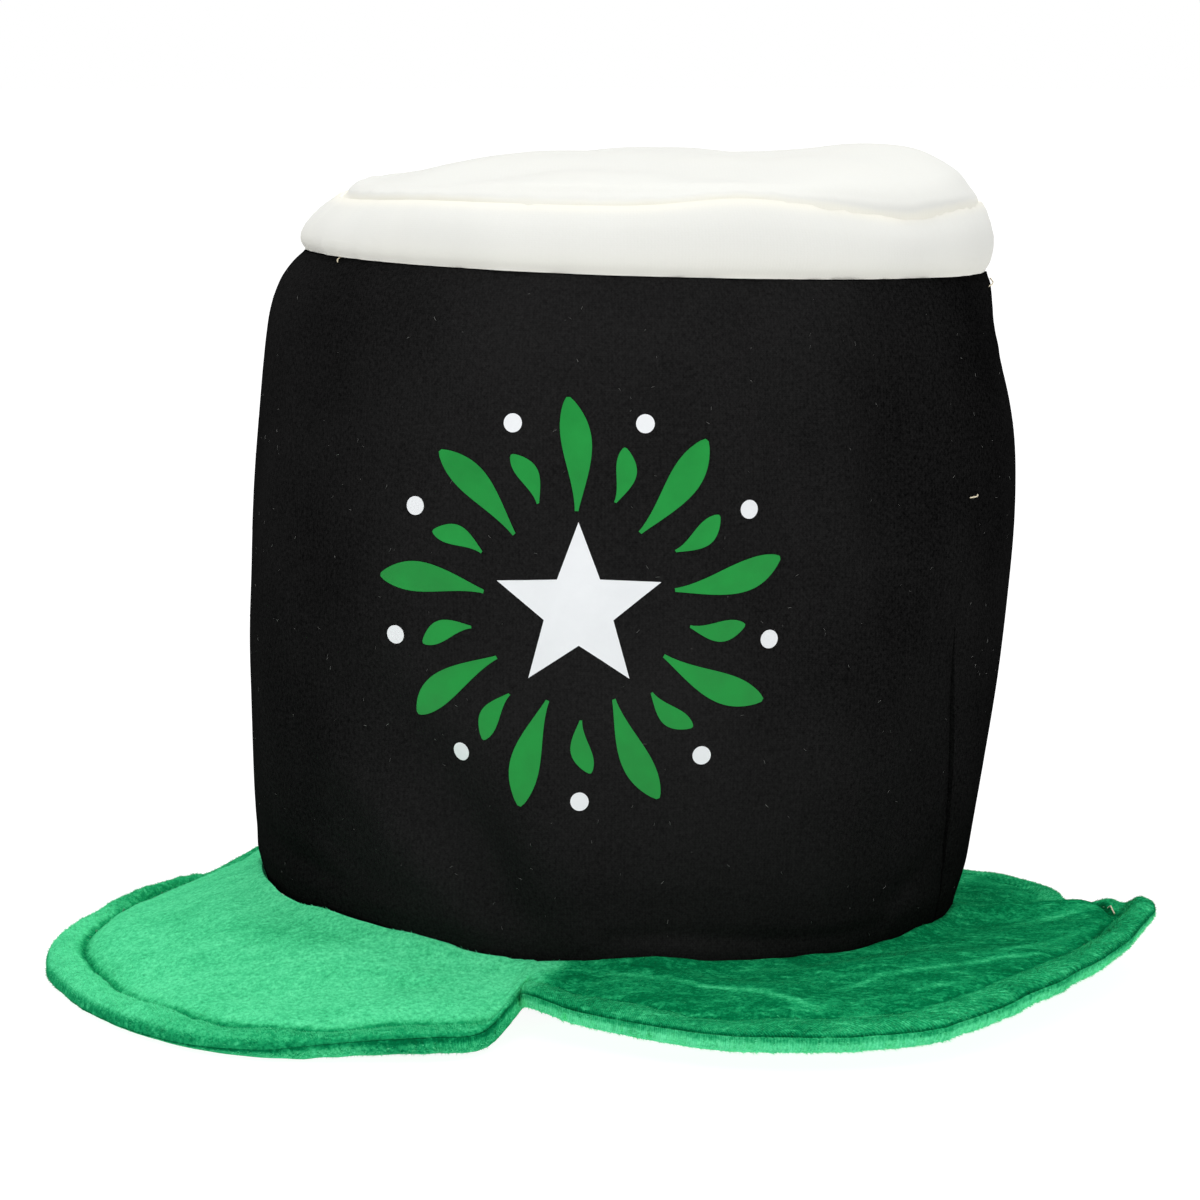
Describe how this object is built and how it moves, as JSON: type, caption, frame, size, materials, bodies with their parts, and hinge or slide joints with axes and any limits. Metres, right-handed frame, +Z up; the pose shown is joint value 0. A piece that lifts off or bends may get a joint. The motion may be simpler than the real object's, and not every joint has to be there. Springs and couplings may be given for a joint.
{
  "type": "party hat",
  "caption": "Tall party hat like a glass of dark beer: black knit crown, puffed white froth top and a padded green velvet brim with leaf lobes.",
  "frame": {"origin": "on the resting surface, under the middle of the brim's outline", "axes": "+Z up through the crown, -Y towards the printed front, +X to the wearer's left"},
  "size_m": [0.325, 0.2946, 0.2416],
  "materials": {
    "black_knit": "matte",
    "white_knit": "matte",
    "green_velvet": "velvet"
  },
  "bodies": {
    "root": {"crown_front": "black_knit", "crown_back": "black_knit", "froth_band_front": "white_knit", "froth_band_back": "white_knit", "froth_top": "white_knit", "brim_upper": "green_velvet", "brim_lower": "green_velvet"}
  },
  "joints": []
}
